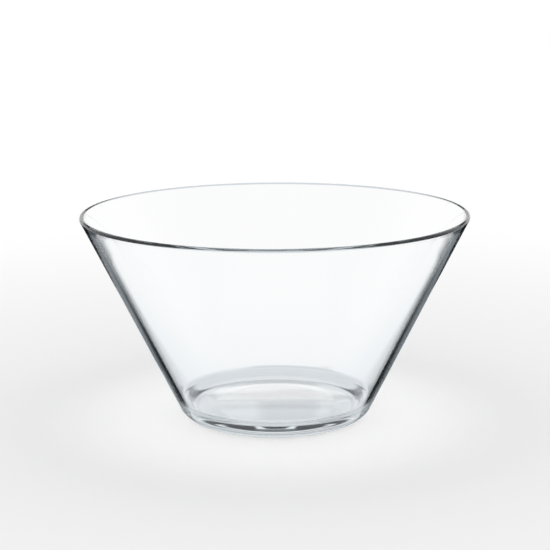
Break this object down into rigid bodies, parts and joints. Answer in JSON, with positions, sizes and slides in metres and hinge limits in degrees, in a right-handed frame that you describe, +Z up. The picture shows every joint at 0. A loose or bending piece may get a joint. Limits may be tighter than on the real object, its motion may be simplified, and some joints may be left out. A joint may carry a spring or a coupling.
{
  "type": "salad bowl",
  "caption": "Clear glass salad bowl: a straight flared cone on a thick rounded base with a shallow hollow underneath and a fire-polished half-round lip.",
  "frame": {"origin": "on the bowl's axis, in the plane of the ring that it stands on", "axes": "+Z up along the bowl's axis; the bowl is round, so X and Y are free, and -Y faces the pictured side"},
  "size_m": [0.25, 0.25, 0.135],
  "materials": {
    "clear_glass": "polished, clear, colourless with a slight blue-grey tint where it is thick"
  },
  "bodies": {
    "root": {"bowl_base": "clear_glass", "bowl_wall": "clear_glass", "bowl_rim": "clear_glass"}
  },
  "joints": []
}
